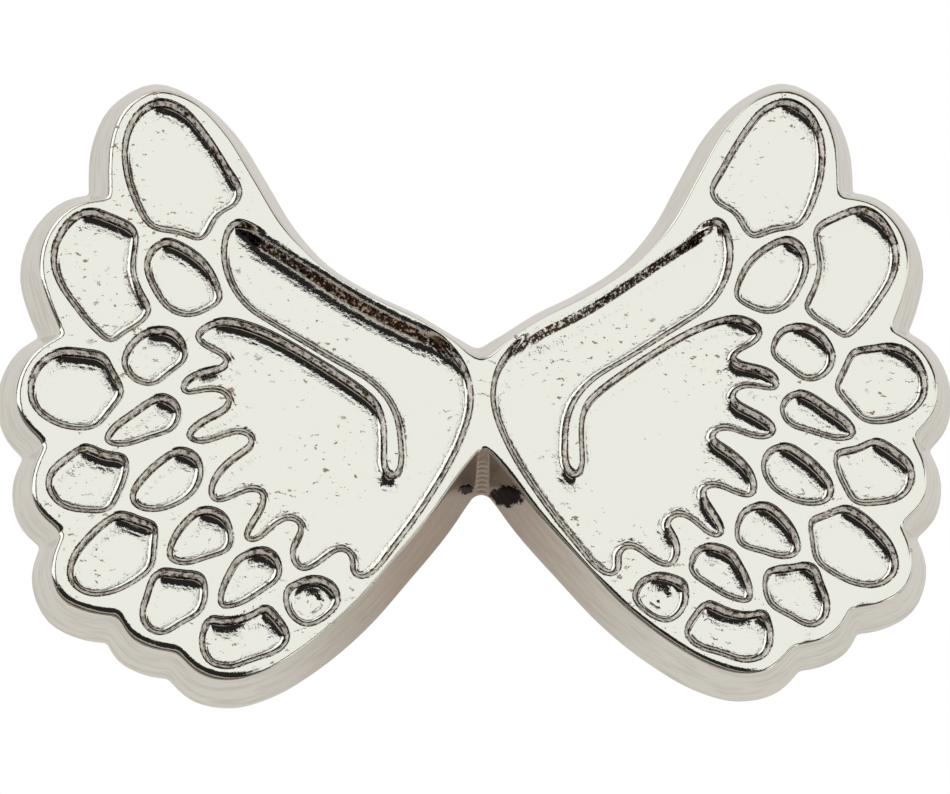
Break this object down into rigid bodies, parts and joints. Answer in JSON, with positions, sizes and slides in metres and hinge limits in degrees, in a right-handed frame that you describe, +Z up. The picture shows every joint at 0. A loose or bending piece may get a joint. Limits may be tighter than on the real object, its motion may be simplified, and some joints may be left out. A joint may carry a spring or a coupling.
{
  "type": "pilot wings pin",
  "caption": "Spread feathered wings cast as one bright metal badge, with nail posts and butterfly clutches on its back.",
  "frame": {"origin": "middle of the casting's flat back, on the line of symmetry between the wings", "axes": "+X along the span, to the right seen from the front; +Y out of the back, along the posts; +Z up as worn; the face looks along -Y"},
  "size_m": [0.06, 0.0106, 0.0402],
  "materials": {
    "nickel_plate": "bright nickel plate over a die casting",
    "post_steel": "drawn steel pin, bright",
    "solder": "dull tin solder fillet",
    "clutch_brass": "pressed brass, bright with fine drawing marks",
    "spring_brass": "hard spring brass, slightly duller"
  },
  "bodies": {
    "badge": {"wing_casting": "nickel_plate", "left_post": "post_steel", "right_post": "post_steel", "left_solder": "solder", "right_solder": "solder"},
    "left_clutch": {"left_clutch_plate": "clutch_brass", "left_clutch_dome": "clutch_brass"},
    "right_clutch": {"right_clutch_plate": "clutch_brass", "right_clutch_dome": "clutch_brass"},
    "left_inner_wing": {"left_clutch_inner_wing": "spring_brass"},
    "left_outer_wing": {"left_clutch_outer_wing": "spring_brass"},
    "right_inner_wing": {"right_clutch_inner_wing": "spring_brass"},
    "right_outer_wing": {"right_clutch_outer_wing": "spring_brass"}
  },
  "joints": [
    {"name": "left_clutch_slide", "type": "slide", "parent": "badge", "child": "left_clutch", "axis": [0, 1, 0], "range_m": [0, 0.006]},
    {"name": "right_clutch_slide", "type": "slide", "parent": "badge", "child": "right_clutch", "axis": [0, 1, 0], "range_m": [0, 0.006]},
    {"name": "left_inner_wing_spring", "type": "hinge", "parent": "left_clutch", "child": "left_inner_wing", "pos_m": [-0.01165, 0.00462, 0.001], "axis": [0, 0, 1], "range_deg": [0, 12], "stiffness_Nm_per_rad": 0.01},
    {"name": "left_outer_wing_spring", "type": "hinge", "parent": "left_clutch", "child": "left_outer_wing", "pos_m": [-0.01635, 0.00462, 0.001], "axis": [0, 0, -1], "range_deg": [0, 12], "stiffness_Nm_per_rad": 0.01},
    {"name": "right_inner_wing_spring", "type": "hinge", "parent": "right_clutch", "child": "right_inner_wing", "pos_m": [0.01165, 0.00462, 0.001], "axis": [0, 0, -1], "range_deg": [0, 12], "stiffness_Nm_per_rad": 0.01},
    {"name": "right_outer_wing_spring", "type": "hinge", "parent": "right_clutch", "child": "right_outer_wing", "pos_m": [0.01635, 0.00462, 0.001], "axis": [0, 0, 1], "range_deg": [0, 12], "stiffness_Nm_per_rad": 0.01}
  ]
}
